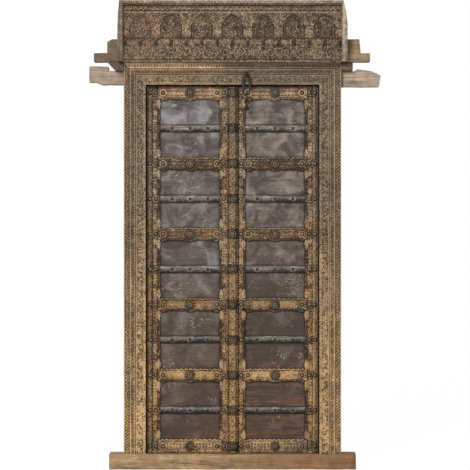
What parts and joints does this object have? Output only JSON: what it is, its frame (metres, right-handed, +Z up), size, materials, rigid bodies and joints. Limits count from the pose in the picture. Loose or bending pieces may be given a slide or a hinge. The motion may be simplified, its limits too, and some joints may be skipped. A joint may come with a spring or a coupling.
{
  "type": "carved temple door",
  "caption": "Carved wooden double door with iron-strapped panels, studs and a hanging hasp chain, turning on pivots in a carved frame under a carved cornice.",
  "frame": {"origin": "middle of the sill's underside, in the plane of the frame's carved face", "axes": "+X to the right seen from the carved side, +Y into the wall, +Z up; the carved side faces -Y"},
  "size_m": [1.343, 0.216, 2.152],
  "materials": {
    "carved_wood": "carved, worn and dusty",
    "cornice_wood": "carved, dark and dusty",
    "raw_wood": "bare and weathered",
    "leaf_wood": "carved, dark and worn",
    "panel_wood": "flat boards, dark and scuffed",
    "strap_iron": "forged, blackened",
    "stud_iron": "forged, dusty",
    "chain_iron": "forged, black"
  },
  "bodies": {
    "frame": {"sill": "raw_wood", "left_jamb": "carved_wood", "right_jamb": "carved_wood", "lintel": "carved_wood", "left_pad": "raw_wood", "right_pad": "raw_wood", "cornice_beam": "raw_wood", "frieze_board": "cornice_wood", "cornice_cap": "cornice_wood", "left_cheek": "cornice_wood", "right_cheek": "cornice_wood", "chain_staple": "chain_iron"},
    "left_leaf": {"left_hanging_stile": "leaf_wood", "left_meeting_stile": "leaf_wood", "left_top_rail": "leaf_wood", "left_bottom_rail": "leaf_wood", "left_rail_1": "leaf_wood", "left_rail_2": "leaf_wood", "left_rail_3": "leaf_wood", "left_rail_4": "leaf_wood", "left_panel_1": "panel_wood", "left_panel_2": "panel_wood", "left_panel_3": "panel_wood", "left_panel_4": "panel_wood", "left_panel_5": "panel_wood", "left_strap_1": "strap_iron", "left_strap_2": "strap_iron", "left_strap_3": "strap_iron", "left_strap_4": "strap_iron", "left_strap_5": "strap_iron", "left_strap_nails": "stud_iron", "left_studs": "stud_iron", "left_rosettes": "stud_iron", "astragal": "leaf_wood"},
    "right_leaf": {"right_hanging_stile": "leaf_wood", "right_meeting_stile": "leaf_wood", "right_top_rail": "leaf_wood", "right_bottom_rail": "leaf_wood", "right_rail_1": "leaf_wood", "right_rail_2": "leaf_wood", "right_rail_3": "leaf_wood", "right_rail_4": "leaf_wood", "right_panel_1": "panel_wood", "right_panel_2": "panel_wood", "right_panel_3": "panel_wood", "right_panel_4": "panel_wood", "right_panel_5": "panel_wood", "right_strap_1": "strap_iron", "right_strap_2": "strap_iron", "right_strap_3": "strap_iron", "right_strap_4": "strap_iron", "right_strap_5": "strap_iron", "right_strap_nails": "stud_iron", "right_studs": "stud_iron", "right_rosettes": "stud_iron"},
    "hasp": {"chain_hasp": "chain_iron"},
    "link": {"chain_link": "chain_iron"},
    "drop": {"chain_drop": "chain_iron"}
  },
  "joints": [
    {"name": "left_leaf_swing", "type": "hinge", "parent": "frame", "child": "left_leaf", "pos_m": [-0.38, 0.0645, 0.9], "axis": [0, 0, 1], "range_deg": [0, 90]},
    {"name": "right_leaf_swing", "type": "hinge", "parent": "frame", "child": "right_leaf", "pos_m": [0.38, 0.0645, 0.9], "axis": [0, 0, -1], "range_deg": [0, 90]},
    {"name": "hasp_swing", "type": "hinge", "parent": "frame", "child": "hasp", "pos_m": [0.065, -0.015, 1.815], "axis": [-1, 0, 0], "range_deg": [-8, 100]},
    {"name": "link_swing", "type": "hinge", "parent": "hasp", "child": "link", "pos_m": [0.065, -0.015, 1.721], "axis": [-1, 0, 0], "range_deg": [-20, 70]},
    {"name": "drop_swing", "type": "hinge", "parent": "link", "child": "drop", "pos_m": [0.065, -0.015, 1.6895], "axis": [0, 1, 0], "range_deg": [-50, 50]}
  ]
}
